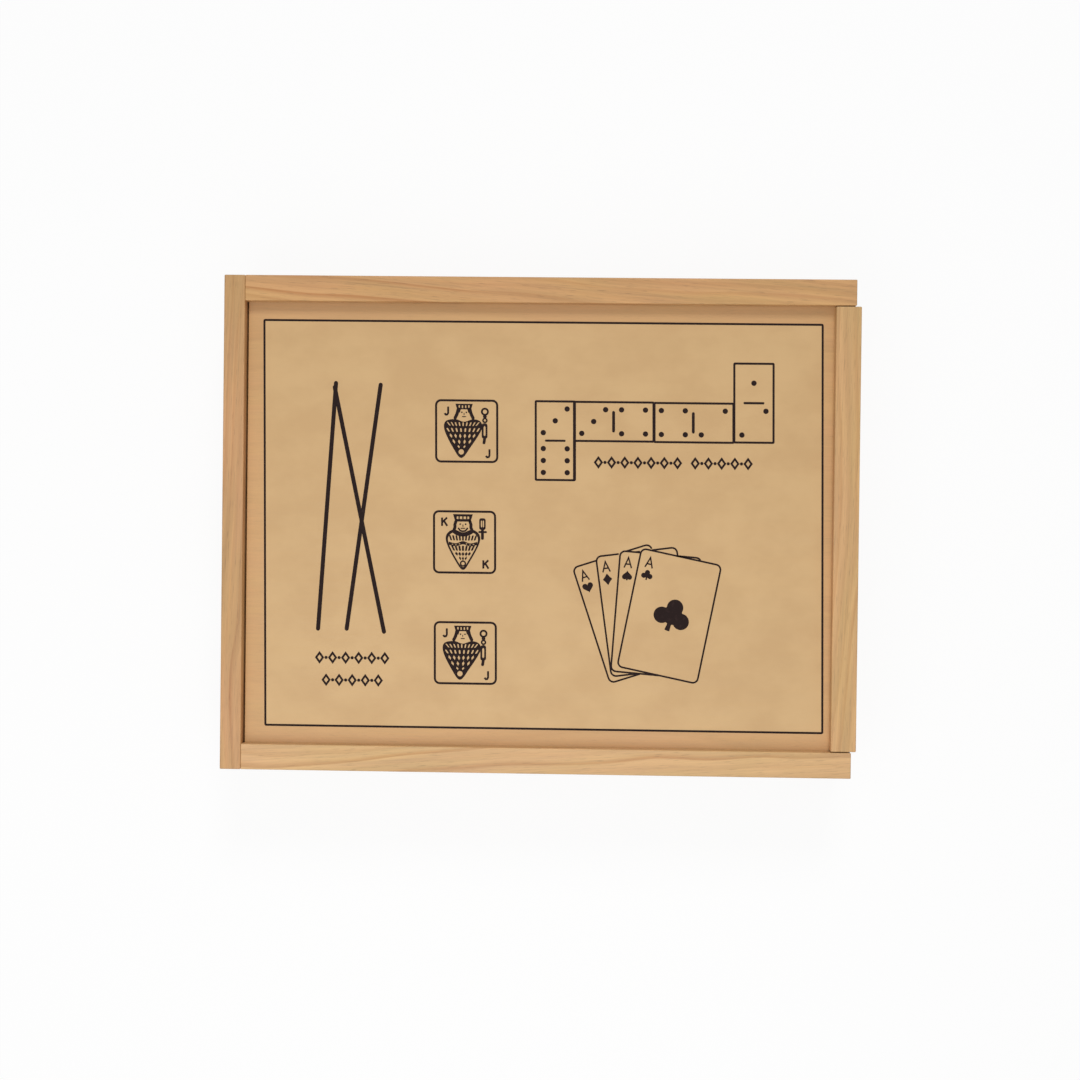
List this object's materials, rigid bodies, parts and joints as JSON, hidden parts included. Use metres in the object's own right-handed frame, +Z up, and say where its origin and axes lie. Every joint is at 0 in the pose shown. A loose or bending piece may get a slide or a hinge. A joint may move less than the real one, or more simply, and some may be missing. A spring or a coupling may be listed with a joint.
{
  "type": "games compendium box",
  "caption": "Flat finger-jointed wooden games box with a sliding lid, divided inside into bays that hold pick-up sticks, dominoes, playing cards and poker dice.",
  "frame": {"origin": "centre of the base's underside, measured over the four walls and leaving out the lid's projecting end", "axes": "+X along the box towards the end that the lid slides out of, +Y across it, +Z up out of the base"},
  "size_m": [0.1975, 0.154, 0.034],
  "materials": {
    "pine": "planed solid softwood, light satin lacquer, grain along each wall",
    "plywood": "thin three-layer plywood, sanded, raw edges",
    "lid_ply": "thin plywood with a smooth satin face and dark brown printed line art",
    "domino_wood": "smooth pale hardwood, pips and mid line painted dark brown",
    "stick_wood": "turned birch with painted rings that give its value",
    "card_stock": "coated card, rounded corners",
    "dice_plastic": "ivory plastic with engraved and inked faces"
  },
  "bodies": {
    "box": {"north_wall": "pine", "south_wall": "pine", "west_wall": "pine", "east_wall": "pine", "base_panel": "plywood", "long_divider": "plywood", "cross_divider": "plywood", "short_divider": "plywood", "domino_0_0": "domino_wood", "domino_0_1": "domino_wood", "domino_0_2": "domino_wood", "domino_0_3": "domino_wood", "domino_0_4": "domino_wood", "domino_0_5": "domino_wood", "domino_0_6": "domino_wood", "domino_1_1": "domino_wood", "domino_1_2": "domino_wood", "domino_1_3": "domino_wood", "domino_1_4": "domino_wood", "domino_1_5": "domino_wood", "domino_1_6": "domino_wood", "domino_2_2": "domino_wood", "domino_2_3": "domino_wood", "domino_2_4": "domino_wood", "domino_2_5": "domino_wood", "domino_2_6": "domino_wood", "domino_3_3": "domino_wood", "domino_3_4": "domino_wood", "domino_3_5": "domino_wood", "domino_3_6": "domino_wood", "domino_4_4": "domino_wood", "domino_4_5": "domino_wood", "domino_4_6": "domino_wood", "domino_5_5": "domino_wood", "domino_5_6": "domino_wood", "domino_6_6": "domino_wood", "sticks_20_point": "stick_wood", "sticks_10_point": "stick_wood", "sticks_5_point": "stick_wood", "sticks_3_point": "stick_wood", "sticks_2_point": "stick_wood", "cards_clubs": "card_stock", "cards_diamonds": "card_stock", "cards_hearts": "card_stock", "cards_spades": "card_stock", "cards_jokers": "card_stock", "die_1": "dice_plastic", "die_2": "dice_plastic", "die_3": "dice_plastic", "die_4": "dice_plastic", "die_5": "dice_plastic"},
    "lid": {"lid_panel": "lid_ply", "lid_batten": "pine"}
  },
  "joints": [
    {"name": "lid_slide", "type": "slide", "parent": "box", "child": "lid", "axis": [1, 0, 0], "range_m": [-0.0004, 0.188]}
  ]
}
